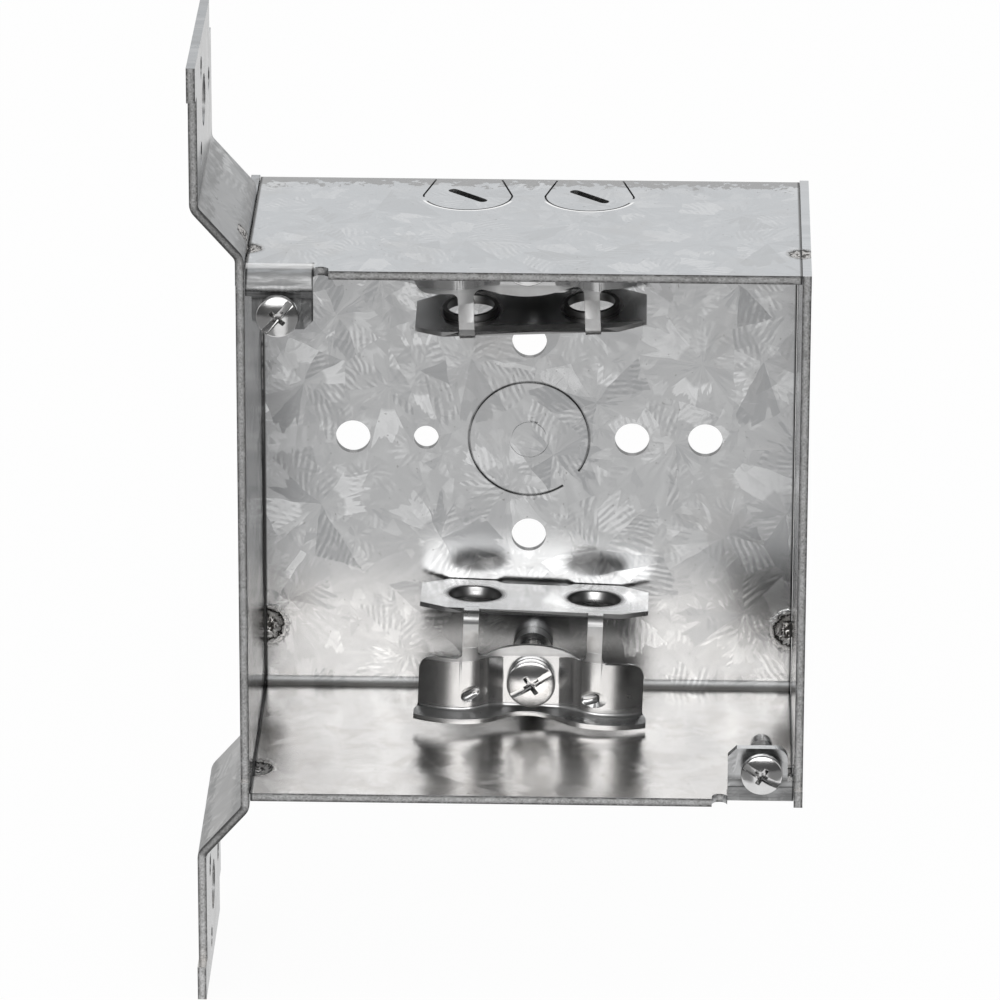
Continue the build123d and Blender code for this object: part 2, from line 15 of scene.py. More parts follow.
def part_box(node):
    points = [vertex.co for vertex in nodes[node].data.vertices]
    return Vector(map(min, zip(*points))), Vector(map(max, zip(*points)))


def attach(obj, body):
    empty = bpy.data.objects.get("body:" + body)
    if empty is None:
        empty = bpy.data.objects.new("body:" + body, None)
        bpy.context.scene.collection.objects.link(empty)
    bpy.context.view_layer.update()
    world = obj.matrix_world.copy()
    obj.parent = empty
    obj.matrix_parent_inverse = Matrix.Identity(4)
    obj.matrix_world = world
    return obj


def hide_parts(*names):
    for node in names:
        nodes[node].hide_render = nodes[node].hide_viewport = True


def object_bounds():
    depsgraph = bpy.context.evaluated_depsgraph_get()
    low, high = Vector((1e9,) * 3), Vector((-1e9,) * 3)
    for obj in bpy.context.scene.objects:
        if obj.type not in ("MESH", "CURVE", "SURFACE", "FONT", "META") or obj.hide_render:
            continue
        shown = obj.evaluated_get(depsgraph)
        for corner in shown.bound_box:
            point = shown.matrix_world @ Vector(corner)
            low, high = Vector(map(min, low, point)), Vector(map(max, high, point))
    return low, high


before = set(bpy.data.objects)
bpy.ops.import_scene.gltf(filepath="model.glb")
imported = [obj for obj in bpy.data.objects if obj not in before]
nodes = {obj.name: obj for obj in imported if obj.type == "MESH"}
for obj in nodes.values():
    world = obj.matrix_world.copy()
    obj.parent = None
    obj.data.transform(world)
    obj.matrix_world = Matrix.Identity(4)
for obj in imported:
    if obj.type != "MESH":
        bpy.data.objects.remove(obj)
cad_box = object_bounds()

MM = 0.001

# Sheet thickness and the box's outside, in millimetres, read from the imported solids
plate_low, plate_high = (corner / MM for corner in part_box("side_plate"))
bracket_low, bracket_high = (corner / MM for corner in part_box("bracket"))
sheet = plate_high.x - plate_low.x
box_half = plate_high.z
box_depth = plate_high.y
inner_half = box_half - sheet
back_inner = box_depth - sheet

# Bends, joints, marks and openings that the materials follow, in millimetres
arm_bend_near = 52.7
arm_bend_far = 61.7
side_gap = 0.06
bracket_gap = 0.2
channel_half = plate_low.x - side_gap
tab_inner = 37.1
tab_foot = 39.3
tab_run = 4.4
knockout_radius = 11.1
knockout_tie = Vector((7.85, 0.0, -7.85))
pryout_at = 11.0
pryout_depth = 42.0
pryout_radius = 8.0
weld_depth = 11.7
weld_height = 37.6
wire_hole_depth = 43.5
wire_holes_lower = (-9.6, 12.4)
wire_holes_upper = (-10.4, 11.6)
clamp_shift_lower = 0.9
clamp_shift_upper = 0.0
plate_edge = 28.7
saddle_start = 36.5
lip_start = 46.0
grips = (Vector((-9.6, 0.0, -42.8)), Vector((12.5, 0.0, -43.5)))
grip_squeeze = Vector((0.65, 0.0, 1.0))
far_off = 99.0

# Patterns of the zinc: sway in shares of a cell, stripes in millimetres, lean, stretches and shifts
sway_waves = 3.5
sway_reach = 0.09
stripe_width = 0.75
crystal_lean = 0.06
half_way = (0.5, 0.5, 0.5)
small_shift = (71.3, 15.9, 0.0)
drawn_stretch = (0.25, 1.6, 1.6)
hair_stretch = (0.2, 1.1, 3.4)

# The screws' shared detail and the joint's filling, in millimetres, or shares of a size where so named
thread_pitch = 0.794
thread_depth = 0.4
flank_slope = 1.3
flat_share = 0.15
run_out = 0.2
tip_step = 0.06
tip_bulge_share = 0.6
head_cap = 0.62
head_round = 0.3
head_round_share = 0.3
head_chamfer = 0.15
head_easing = 0.07
slot_width = 1.25
slot_depth = 1.15
slot_taper = 0.96
cross_width = 1.05
cross_length_share = 1.1
cross_depth = 1.9
cross_taper = 0.5
cutter_rise = 1.0
filler_start = 3.0
filler_inset = 0.1
filler_overlap = 0.3

# Camera, fitted to the photograph
camera_target = Vector((-4.651, 25.0, -1.612)) * MM
camera_distance = 1374.95 * MM
camera_azimuth = radians(1.453)
camera_elevation = radians(21.121)
camera_roll = radians(0.139)
camera_sensor = 36.0
camera_lens = 273.15

# Distance in metres of the cards that the metal mirrors
card_distance = 1.0


class Tree:
    """A material's node tree, with one short method for each kind of node that the materials use."""

    def __init__(self, name):
        self.material = bpy.data.materials.new(name)
        self.material.use_nodes = True
        self.nodes = self.material.node_tree.nodes
        self.links = self.material.node_tree.links
        self.shader = self.nodes["Principled BSDF"]

    def feed(self, socket, value):
        """Links an output to an input, or sets the input's own value."""
        if isinstance(value, bpy.types.NodeSocket):
            self.links.new(value, socket)
        else:
            socket.default_value = value

    def add(self, kind, inputs, **settings):
        node = self.nodes.new(kind)
        for setting, value in settings.items():
            setattr(node, setting, value)
        for key, value in inputs.items():
            self.feed(node.inputs[key], value)
        return node

    def set(self, **inputs):
        """Feeds the material's shader; an input's name is written with _ for each space."""
        for name, value in inputs.items():
            self.feed(self.shader.inputs[name.replace("_", " ")], value)

    def math(self, operation, a, b=0.0):
        return self.add("ShaderNodeMath", {0: a, 1: b}, operation=operation).outputs[0]

    def chain(self, operation, values):
        result = values[0]
        for value in values[1:]:
            result = self.math(operation, result, value)
        return result

    def product(self, *factors, times=None):
        """The factors multiplied, and last by a plain number where one is given."""
        result = self.chain("MULTIPLY", factors)
        return result if times is None else self.math("MULTIPLY", result, times)

    def total(self, *values):
        return self.chain("ADD", values)

    def highest(self, *values):
        return self.chain("MAXIMUM", values)

    def vector(self, operation, a, b=(0.0, 0.0, 0.0)):
        return self.add("ShaderNodeVectorMath", {0: a, 1: b}, operation=operation).outputs[0]

    def length(self, a):
        return self.add("ShaderNodeVectorMath", {0: a}, operation="LENGTH").outputs["Value"]

    def near(self, at, place, inner, outer):
        """1 within inner of a place, 0 from outer on."""
        return self.span(self.length(self.vector("SUBTRACT", at, place)), outer, inner)

    def split(self, vector):
        return self.add("ShaderNodeSeparateXYZ", {0: vector}).outputs[:]

    def join(self, x, y, z):
        return self.add("ShaderNodeCombineXYZ", {0: x, 1: y, 2: z}).outputs[0]

    def span(self, value, start, end, first=0.0, last=1.0):
        """Maps start..end to first..last, held at the ends."""
        inputs = {0: value, 1: start, 2: end, 3: first, 4: last}
        return self.add("ShaderNodeMapRange", inputs).outputs[0]

    def between(self, value, low, high, soft=0.05):
        """1 from low to high, fading to 0 over a soft margin outside them."""
        return self.product(self.span(value, low - soft, low), self.span(value, high + soft, high))

    def mix(self, share, a, b):
        return self.add("ShaderNodeMix", {0: share, 6: a, 7: b}, data_type="RGBA").outputs[2]

    def noise(self, at, scale, detail=2.0, roughness=0.5, distortion=0.0):
        inputs = {"Vector": at, "Scale": scale, "Detail": detail}
        inputs |= {"Roughness": roughness, "Distortion": distortion}
        return self.add("ShaderNodeTexNoise", inputs)

    def cells(self, at, size):
        """Flat random cells; the third coordinate doesn't count."""
        inputs = {"Vector": at, "Scale": 1 / size}
        return self.add("ShaderNodeTexVoronoi", inputs, voronoi_dimensions="2D")

    def bump(self, height, depth, normal=None):
        inputs = {"Height": height, "Distance": depth * MM, "Strength": 1.0}
        if normal is not None:
            inputs["Normal"] = normal
        return self.add("ShaderNodeBump", inputs).outputs[0]

    def millimetres(self):
        at = self.nodes.new("ShaderNodeTexCoord").outputs["Object"]
        return self.scaled(at, 1 / MM)

    def scaled(self, vector, factor):
        inputs = {0: vector, "Scale": factor}
        return self.add("ShaderNodeVectorMath", inputs, operation="SCALE").outputs[0]

    def facing(self):
        """The surface's own direction, before any bump."""
        return self.nodes.new("ShaderNodeNewGeometry").outputs["Normal"]


def grey(level, warmth=0.0):
    """A linear colour, a little warmer than neutral, or cooler where warmth is below 0."""
    return (level * (1 + warmth), level, level * (1 - warmth), 1.0)


def front_faces(tree, facing):
    return tree.span(tree.split(facing)[1], start=-0.85, end=-0.95)


class Marks(NamedTuple):
    """Where a sheet is sheared, worn, sooty or darkened with painted shade, where painted highlights lie,
    and how far it leans out of its plane.
    """

    edge: object
    thickness: object
    worn: object
    soot_and_shade: object
    bright: object = 0.0
    lean: object = (0.0, 0.0, 0.0)


def channel_marks(tree, at, facing, torn):
    """Front edges, torn zinc on the top wall's back bend, dark joints, painted shade in grooves, holes and
    slots, on the tabs and behind the lower clamp, painted highlights, and leaning tabs.
    """
    x, depth, z = tree.split(at)
    side = tree.math("ABSOLUTE", x)
    height = tree.math("ABSOLUTE", z)
    front = front_faces(tree, facing)
    tab = tree.product(
        tree.span(tree.product(x, z), start=0.0, end=-1.0),
        tree.span(side, start=tab_inner - 0.2, end=tab_inner - 0.1),
        tree.span(depth, start=tab_run, end=tab_run - 0.1),
        tree.span(height, start=tab_foot - 0.1, end=tab_foot),
    )
    rim = tree.product(front, tree.span(height, start=inner_half - 0.05, end=inner_half + 0.05))
    edge = tree.product(rim, tree.math("SUBTRACT", 1.0, tab))

    # Torn zinc along the back bend, and lines drawn over the tabs' bends
    ragged = tree.math("ADD", depth, tree.span(torn, start=0.3, end=0.7, first=-3.4, last=3.4))
    up = tree.split(facing)[2]
    above = tree.product(tree.span(up, start=0.2, end=0.4), tree.span(z, start=40.0, end=45.0))
    back_bend = tree.product(tree.span(ragged, start=47.6, end=48.2), above)
    drawn = tree.noise(tree.vector("MULTIPLY", at, drawn_stretch), scale=1.0, detail=3.0).outputs[0]
    tab_bend = tree.product(
        tab,
        tree.span(height, start=46.8, end=47.4),
        tree.span(drawn, start=0.42, end=0.58),
        times=0.7,
    )

    # Dark joints, and painted shade on the hole walls, in the knockout's groove away from its tie, in the
    # lever slots, along the tabs and on the back wall behind the lower clamp
    joint = tree.span(side, start=channel_half - 0.5, end=channel_half - 0.2)
    from_middle = tree.length(tree.join(x, 0.0, z))
    cut = tree.product(
        tree.between(depth, low=back_inner + 0.1, high=box_depth - 0.1),
        tree.span(height, start=inner_half - 3.0, end=inner_half - 3.5),
        tree.span(from_middle, start=5.0, end=5.2),
        tree.span(side, start=44.0, end=43.5),
        times=0.6,
    )
    from_ring = tree.math("ABSOLUTE", tree.math("SUBTRACT", from_middle, knockout_radius))
    tie_x = tree.math("SUBTRACT", x, knockout_tie.x)
    tie_z = tree.math("SUBTRACT", z, knockout_tie.z)
    ring = tree.product(
        tree.span(from_ring, start=0.36, end=0.12),
        tree.span(tree.length(tree.join(tie_x, 0.0, tie_z)), start=1.9, end=2.1),
        tree.span(depth, start=50.0, end=51.0),
        tree.span(torn, start=0.3, end=0.6, first=0.3, last=0.8),
    )
    tab_side = tree.product(
        tab,
        tree.span(side, start=tab_inner + 0.35, end=tab_inner + 0.1),
        tree.span(z, start=0.0, end=1.0),
    )
    tab_floor = tree.product(tab, tree.span(z, start=-44.6, end=-45.4), times=0.5)
    tab_shade = tree.product(
        tab,
        tree.span(z, start=49.0, end=47.2),
        tree.span(z, start=44.6, end=45.4),
        times=0.75,
    )
    slots = tree.product(
        tree.between(z, low=inner_half + 0.1, high=box_half - 0.1),
        tree.between(depth, low=40.0, high=50.0, soft=0.5),
        tree.span(side, start=20.0, end=19.0),
        times=0.8,
    )
    # Painted shadow of the lower clamp on the back wall
    behind_clamp = tree.product(
        tree.span(side, start=21.0, end=15.0),
        tree.between(height, low=35.0, high=46.0, soft=3.0),
        tree.between(depth, low=back_inner - 0.4, high=back_inner + 0.2),
        times=0.35,
    )

    # Painted highlights along the front of the pry-outs' rims and along the upper tab's bend
    pryout_x = tree.math("SUBTRACT", side, pryout_at)
    pryout_y = tree.math("SUBTRACT", depth, pryout_depth)
    from_pryout = tree.length(tree.join(pryout_x, pryout_y, 0.0))
    pryout_rim = tree.product(
        tree.between(from_pryout, low=pryout_radius + 0.25, high=pryout_radius + 0.55, soft=0.15),
        above,
        tree.span(pryout_y, start=-2.5, end=-3.5),
    )
    tab_shine = tree.product(tab, above, tree.between(depth, low=2.4, high=3.6, soft=0.5), times=0.6)

    lean = tree.product(tab, front, tree.span(z, start=41.0, end=43.5, first=0.05, last=0.14))
    return Marks(
        edge=edge,
        thickness=tree.span(height, inner_half, box_half),
        worn=tree.highest(back_bend, tab_bend),
        soot_and_shade=tree.highest(joint, cut, ring, slots, tab_side, tab_floor, tab_shade, behind_clamp),
        bright=tree.highest(pryout_rim, tab_shine),
        lean=tree.join(0.0, 0.0, lean),
    )


def dark_joint(tree, depth, height):
    """Mask of the lines on a side sheet's inside where the channel's back, top and bottom meet it."""
    return tree.highest(
        tree.span(depth, start=back_inner - 0.5, end=back_inner - 0.15),
        tree.between(height, low=inner_half - 0.15, high=box_half, soft=0.35),
    )


def side_plate_marks(tree, at, facing, torn):
    """Front edge, faint scuffs outside and dark joints inside."""
    x, depth, z = tree.split(at)
    sideways = tree.split(facing)[0]
    inside = tree.span(sideways, start=-0.5, end=-0.9)
    outside = tree.span(sideways, start=0.5, end=0.9)
    return Marks(
        edge=front_faces(tree, facing),
        thickness=tree.span(x, plate_low.x, plate_high.x),
        worn=tree.product(outside, tree.span(torn, start=0.55, end=0.7), times=0.4),
        soot_and_shade=tree.product(inside, dark_joint(tree, depth, tree.math("ABSOLUTE", z))),
    )


def bracket_marks(tree, at, facing, torn):
    """Front edge, whose middle line steps outwards along each arm, scuffed bends and dark joints."""
    x, depth, z = tree.split(at)
    height = tree.math("ABSOLUTE", z)
    edge = front_faces(tree, facing)
    plate_middle = bracket_high.x - sheet / 2
    arm_middle = bracket_low.x + sheet / 2
    middle = tree.span(height, arm_bend_near, arm_bend_far, plate_middle, arm_middle)
    ragged = tree.math("ADD", height, tree.span(torn, start=0.3, end=0.7, first=-1.0, last=1.0))
    bends = [
        tree.between(ragged, low=fold - 2.0, high=fold + 2.0, soft=0.4)
        for fold in (arm_bend_near, arm_bend_far)
    ]
    inside = tree.span(tree.split(facing)[0], start=0.5, end=0.9)
    joint = tree.product(
        inside,
        dark_joint(tree, depth, height),
        tree.span(height, start=box_half + 0.5, end=box_half),
    )
    slanting = tree.between(height, low=arm_bend_near, high=arm_bend_far, soft=0.6)
    return Marks(
        edge=edge,
        thickness=tree.span(tree.math("SUBTRACT", x, middle), start=-sheet / 2, end=sheet / 2),
        worn=tree.product(tree.highest(*bends), tree.span(torn, start=0.35, end=0.6), times=0.8),
        soot_and_shade=tree.highest(joint, tree.product(edge, slanting, times=0.4)),
    )


def channel_flat(tree, at):
    """Two coordinates along the bent sheet, for patterns that lie in it."""
    x, y, z = tree.split(at)
    return x, tree.math("ADD", y, z)


def plate_flat(tree, at):
    _, y, z = tree.split(at)
    return z, y


def weld_distance(tree, at):
    """Millimetres from the nearest spot weld, within the sheets it joins; outer marks are smaller."""
    x, y, z = tree.split(tree.vector("ABSOLUTE", at))
    side = tree.math("SUBTRACT", x, channel_half)
    walls = []
    for along, place, through, inner, outer in (
        (y, weld_depth, z, inner_half, box_half),
        (z, weld_height, y, back_inner, box_depth),
    ):
        apart = tree.length(tree.join(side, tree.math("SUBTRACT", along, place), 0.0))
        shrink = tree.span(through, start=outer - 0.7, end=outer - 0.5, first=1.0, last=1.5)
        off_wall = tree.span(through, start=inner - 0.1, end=inner - 0.3, first=0.0, last=far_off)
        walls.append(tree.math("ADD", tree.product(apart, shrink), off_wall))
    beyond = tree.span(x, start=plate_high.x + 0.2, end=plate_high.x + 0.4, first=0.0, last=far_off)
    return tree.math("ADD", tree.chain("MINIMUM", walls), beyond)


class Crystals(NamedTuple):
    """The tone of zinc crystals, dull below 0 and pale above, their streaks and the way each one leans."""

    tone: object
    streak: object
    lean: object


def crystals(tree, flat, size, longest):
    """Wedges that grow from scattered points to ragged ends; some are feathered with slanting stripes."""
    sway = tree.noise(flat, scale=sway_waves / size, detail=1.0).outputs["Color"]
    sway = tree.scaled(tree.vector("SUBTRACT", sway, half_way), sway_reach * size)
    swayed = tree.vector("ADD", flat, sway)
    star = tree.cells(swayed, size)
    own = tree.split(star.outputs["Color"])
    arm_x, arm_y, _ = tree.split(tree.vector("SUBTRACT", swayed, star.outputs["Position"]))
    reach = tree.length(tree.join(arm_x, arm_y, 0.0))
    bearing = tree.math("DIVIDE", tree.math("ARCTAN2", arm_y, arm_x), tau)
    bearing = tree.math("ADD", bearing, own[0])
    count = tree.span(own[1], start=0.0, end=1.0, first=7.0, last=11.0)
    wedges = tree.product(tree.math("FRACT", bearing), count)
    wedge = tree.math("FLOOR", wedges)
    key = tree.join(tree.product(own[0], times=91.0), tree.product(own[2], times=57.0), wedge)
    pick = tree.add("ShaderNodeTexWhiteNoise", {"Vector": key})
    own_wedge = tree.split(pick.outputs["Color"])

    # Stripes that slant away from each wedge's axis, and streaks along it
    from_axis = tree.math("SUBTRACT", tree.math("SUBTRACT", wedges, wedge), 0.5)
    from_axis = tree.math("DIVIDE", tree.product(from_axis, reach, times=tau), count)
    wander = tree.noise(flat, scale=0.5, detail=1.0).outputs[0]
    phase = tree.math("ADD", tree.product(reach, times=0.7), tree.product(from_axis, times=1.1))
    phase = tree.math("ADD", tree.math("DIVIDE", phase, stripe_width), tree.product(wander, times=0.6))
    stripe = tree.span(tree.math("PINGPONG", phase, 1.0), start=0.25, end=0.75, first=-0.55, last=0.55)
    feathered = tree.span(own_wedge[1], start=0.45, end=0.55)
    feather = tree.product(feathered, tree.span(wander, start=0.35, end=0.6))
    along = tree.join(tree.product(reach, times=0.10), tree.product(bearing, times=26.0), wedge)
    streak = tree.noise(along, scale=1.0, detail=2.0).outputs[0]

    # Each wedge starts and ends at its own distance from the star's middle
    ragged = tree.span(streak, start=0.3, end=0.7, first=-0.25 * longest, last=0.25 * longest)
    end = tree.span(own_wedge[2], start=0.0, end=1.0, first=0.2 * longest, last=longest)
    past_end = tree.math("SUBTRACT", tree.math("ADD", reach, ragged), end)
    begin = tree.span(own_wedge[0], start=0.3, end=1.0, first=0.0, last=0.4 * longest)
    past_begin = tree.math("SUBTRACT", reach, begin)
    grown = tree.product(
        tree.span(past_end, start=0.3, end=-0.3),
        tree.span(past_begin, start=-0.3, end=0.3),
    )
    shade = pick.outputs["Value"]
    dull = tree.span(shade, start=0.0, end=0.3, first=-0.9, last=0.0)
    tone = tree.total(dull, tree.span(shade, start=0.5, end=1.0), tree.product(stripe, feather))
    lean = tree.vector("SUBTRACT", pick.outputs["Color"], half_way)
    return Crystals(tree.product(tone, grown), streak, tree.scaled(lean, grown))


def galvanised(name, flat_of, marks_of, level, grazing, matt, seed):
    """Hot-dip zinc on sheet steel: crystals, stains, specks, spot welds and gritty sheared edges, with
    painted light on faces that lie up, painted shade and painted highlights.
    """
    tree = Tree(name)
    at = tree.millimetres()
    facing = tree.facing()
    up = tree.split(facing)[2]
    height = tree.split(at)[2]
    place = tree.vector("ADD", at, (seed, seed, seed))
    along, across = flat_of(tree, place)
    flat = tree.join(along, across, seed)

    # Large crystals over small ones, calmer on the faces that lie up
    large = crystals(tree, flat, size=17.0, longest=13.0)
    small = crystals(tree, tree.vector("ADD", flat, small_shift), size=8.0, longest=6.0)
    tone = tree.math("ADD", large.tone, tree.product(small.tone, times=0.45))
    tone = tree.math("ADD", tone, tree.span(large.streak, start=0.3, end=0.7, first=-0.2, last=0.2))
    calm = tree.span(up, start=0.3, end=0.9, first=1.0, last=0.35)
    pale = tree.product(tree.span(tone, start=0.0, end=1.0), calm)
    dull = tree.product(tree.span(tone, start=0.0, end=-1.0), calm)

    # Fine dirt: dull clouds and stains, dark pits and a few hairline scratches
    cloud = tree.noise(place, scale=0.07, detail=3.0, roughness=0.65).outputs[0]
    stain = tree.noise(place, scale=0.16, detail=2.0, roughness=0.6, distortion=0.6).outputs[0]
    pits = tree.noise(place, scale=1.3, detail=2.0, roughness=0.6).outputs[0]
    pits = tree.span(pits, start=0.70, end=0.76)
    hair = tree.noise(tree.vector("MULTIPLY", place, hair_stretch), scale=1.0, detail=1.0).outputs[0]
    hair = tree.product(tree.span(hair, start=0.72, end=0.74), tree.span(cloud, start=0.5, end=0.6))

    # Painted light: the top wall's faces that lie up are a little lighter and cooler
    above = tree.product(tree.span(up, start=0.6, end=0.9), tree.span(height, start=45.0, end=50.0))
    colour = tree.mix(above, grey(0.49 * level, warmth=-0.006), grey(0.51 * level, warmth=-0.034))
    colour = tree.mix(pale, colour, grey(0.76 * level, warmth=-0.006))
    colour = tree.mix(dull, colour, grey(0.36 * level, warmth=-0.014))
    clouded = tree.span(cloud, start=0.55, end=0.8, first=0.0, last=0.35)
    colour = tree.mix(clouded, colour, grey(0.43 * level, warmth=0.03))
    # Painted light: the bottom wall's inside, which lies up, is lighter and warmer
    lying = tree.product(tree.span(up, start=0.6, end=0.9), tree.span(height, start=-40.0, end=-45.0))
    colour = tree.mix(tree.product(lying, times=0.6), colour, grey(0.62, warmth=0.04))
    stained = tree.product(lying, tree.span(stain, start=0.45, end=0.65), times=0.5)
    colour = tree.mix(stained, colour, grey(0.44, warmth=0.05))
    colour = tree.mix(tree.product(pits, times=0.55), colour, grey(0.16, warmth=0.05))
    colour = tree.mix(tree.product(hair, times=0.25), colour, grey(0.8))

    # Torn and scuffed zinc where the sheet was bent, and the burnt pits of the spot welds
    torn = tree.noise(place, scale=0.5, detail=3.0, roughness=0.7).outputs[0]
    marks = marks_of(tree, at, facing, torn)
    colour = tree.mix(marks.worn, colour, grey(0.36, warmth=-0.005))
    spatter = tree.noise(place, scale=1.5, detail=2.0, roughness=0.65).outputs[0]
    ragged = tree.span(spatter, start=0.3, end=0.7, first=-0.5, last=0.5)
    weld = tree.math("ADD", weld_distance(tree, at), ragged)
    pit = tree.span(weld, start=3.6, end=3.3)
    halo = tree.span(weld, start=4.6, end=3.4)
    splash = tree.span(spatter, start=0.48, end=0.58)
    burnt = tree.mix(splash, grey(0.06, warmth=0.06), grey(0.9, warmth=0.02))
    burnt = tree.mix(tree.span(weld, start=1.7, end=2.2), burnt, grey(0.55, warmth=0.02))
    burnt = tree.mix(tree.between(weld, low=3.0, high=3.3, soft=0.25), burnt, grey(0.03, warmth=0.05))
    colour = tree.mix(tree.product(halo, times=0.45), colour, grey(0.2, warmth=0.04))
    colour = tree.mix(pit, colour, burnt)

    # Sheared edge: gritty and lighter in its middle, with painted shade as a dark line along each arris
    grit = tree.noise(place, scale=2.4, detail=2.0, roughness=0.7).outputs[0]
    from_middle = tree.math("ABSOLUTE", tree.math("SUBTRACT", marks.thickness, 0.5))
    gritty = tree.span(grit, start=0.3, end=0.7, first=-0.1, last=0.1)
    arris = tree.span(tree.math("ADD", from_middle, gritty), start=0.30, end=0.42)
    edge_colour = tree.mix(tree.span(torn, start=0.4, end=0.6), grey(0.30, warmth=0.01), grey(0.45))
    core = tree.span(from_middle, start=0.28, end=0.14)
    core = tree.product(core, tree.span(grit, start=0.35, end=0.6), times=0.55)
    edge_colour = tree.mix(core, edge_colour, grey(0.8))
    edge_colour = tree.mix(tree.product(arris, times=0.85), edge_colour, grey(0.10))
    colour = tree.mix(marks.edge, colour, edge_colour)
    # Dark joints and painted shade, then painted highlights
    colour = tree.mix(marks.soot_and_shade, colour, grey(0.06))
    colour = tree.mix(marks.bright, colour, grey(0.95))

    # Each wedge lies at its own slight angle, so it mirrors another part of the room
    tilt = tree.vector("ADD", tree.scaled(large.lean, crystal_lean), marks.lean)
    normal = tree.vector("NORMALIZE", tree.vector("ADD", facing, tilt))
    edge_relief = tree.product(marks.edge, grit, times=4.0)
    relief = tree.math("ADD", edge_relief, tree.product(halo, spatter, times=18.0))
    square = tree.split(tree.vector("ABSOLUTE", facing))
    bend = tree.span(tree.highest(*square), start=0.998, end=0.96)
    roughness = tree.total(
        tree.span(tone, start=-1.0, end=1.0, first=matt, last=matt + 0.06),
        tree.product(marks.edge, times=0.2),
        tree.product(marks.worn, times=0.15),
        tree.product(bend, times=0.28),
    )
    tree.set(
        Base_Color=colour,
        Specular_Tint=grey(grazing),
        Metallic=1.0,
        Roughness=roughness,
        Normal=tree.bump(relief, depth=0.02, normal=normal),
    )
    return tree.material


class Plating(NamedTuple):
    """Where plated metal is dark with painted shade or at the clamp plate's cut edge, dull, rough or
    pressed in, and how far it leans out of its plane.
    """

    dark: object
    dull: object = 0.0
    rough: object = 0.0
    press: object = 0.0
    lean: object = (0.0, 0.0, 0.0)


def clamp_plating(tree, at, facing):
    """Dark plate edge, painted shade in the wire holes, left off at each hole's far wall, and along the
    fold by the plate's front edge; a saddle duller than the plate.
    """
    x, depth, z = tree.split(at)
    height = tree.math("ABSOLUTE", z)
    cut = tree.product(
        front_faces(tree, facing),
        tree.span(height, start=plate_edge + 0.1, end=plate_edge - 0.1),
        times=0.75,
    )
    beyond = tree.math("SUBTRACT", depth, wire_hole_depth)
    # Painted shade in each wire hole, left off where the far wall is
    hollows = []
    for lower, upper in zip(wire_holes_lower, wire_holes_upper):
        side = tree.math("SUBTRACT", x, tree.span(z, start=-1.0, end=1.0, first=lower, last=upper))
        reach = tree.length(tree.join(side, beyond, 0.0))
        spot = tree.product(
            tree.span(tree.math("ABSOLUTE", side), start=2.4, end=0.0),
            tree.span(beyond, start=3.2, end=4.6),
            times=0.8,
        )
        around = tree.span(reach, start=6.1, end=5.1)
        hollows.append(tree.product(around, tree.math("SUBTRACT", 1.0, spot), times=0.85))
    # Painted shade along the fold by the plate's front edge
    fold = tree.product(
        tree.between(height, low=26.6, high=28.6, soft=0.2),
        tree.span(depth, start=34.3, end=34.0),
        times=0.4,
    )
    dark = tree.highest(*hollows, fold)

    # The saddle's crests roll further in than their middle line, and its shoulders stand steeper
    land = tree.span(z, start=-1.0, end=1.0, first=clamp_shift_lower, last=clamp_shift_upper)
    off_land = tree.math("SUBTRACT", x, land)
    outward = tree.span(off_land, start=-1.0, end=1.0, first=-1.0, last=1.0)
    rolled = tree.product(
        tree.span(height, start=31.0, end=saddle_start),
        tree.span(tree.math("ABSOLUTE", x), start=6.0, end=8.5),
        tree.span(tree.split(facing)[1], start=-0.2, end=-0.5),
        times=0.15,
    )
    shoulder = tree.product(
        tree.between(tree.math("ABSOLUTE", off_land), low=5.3, high=7.6, soft=0.5),
        tree.between(height, low=saddle_start, high=lip_start, soft=0.5),
        times=0.32,
    )
    lean = tree.product(outward, tree.math("SUBTRACT", rolled, shoulder))

    squeezed = tree.vector("MULTIPLY", at, grip_squeeze)
    pressed = [tree.near(squeezed, grip * grip_squeeze, inner=0.2, outer=1.6) for grip in grips]
    strap = tree.product(
        tree.between(height, low=27.5, high=36.0, soft=0.3),
        tree.span(depth, start=37.0, end=36.0),
        times=0.24,
    )
    lip = tree.between(height, low=lip_start - 0.4, high=lip_start + 0.8, soft=0.3)
    return Plating(
        dark=tree.highest(cut, dark),
        dull=tree.span(height, start=saddle_start - 1.0, end=saddle_start),
        rough=tree.highest(tree.product(dark, times=0.25), strap, tree.product(lip, times=0.1)),
        press=tree.highest(*pressed),
        lean=tree.join(lean, 0.0, 0.0),
    )


def screw_plating(tree, _at, facing):
    """Painted shade on steep faces, apart from those that face up."""
    _, ahead, up = tree.split(facing)
    steep = tree.span(ahead, start=-0.86, end=-0.7)
    return Plating(dark=tree.product(steep, tree.span(up, start=0.5, end=0.1), times=0.8))


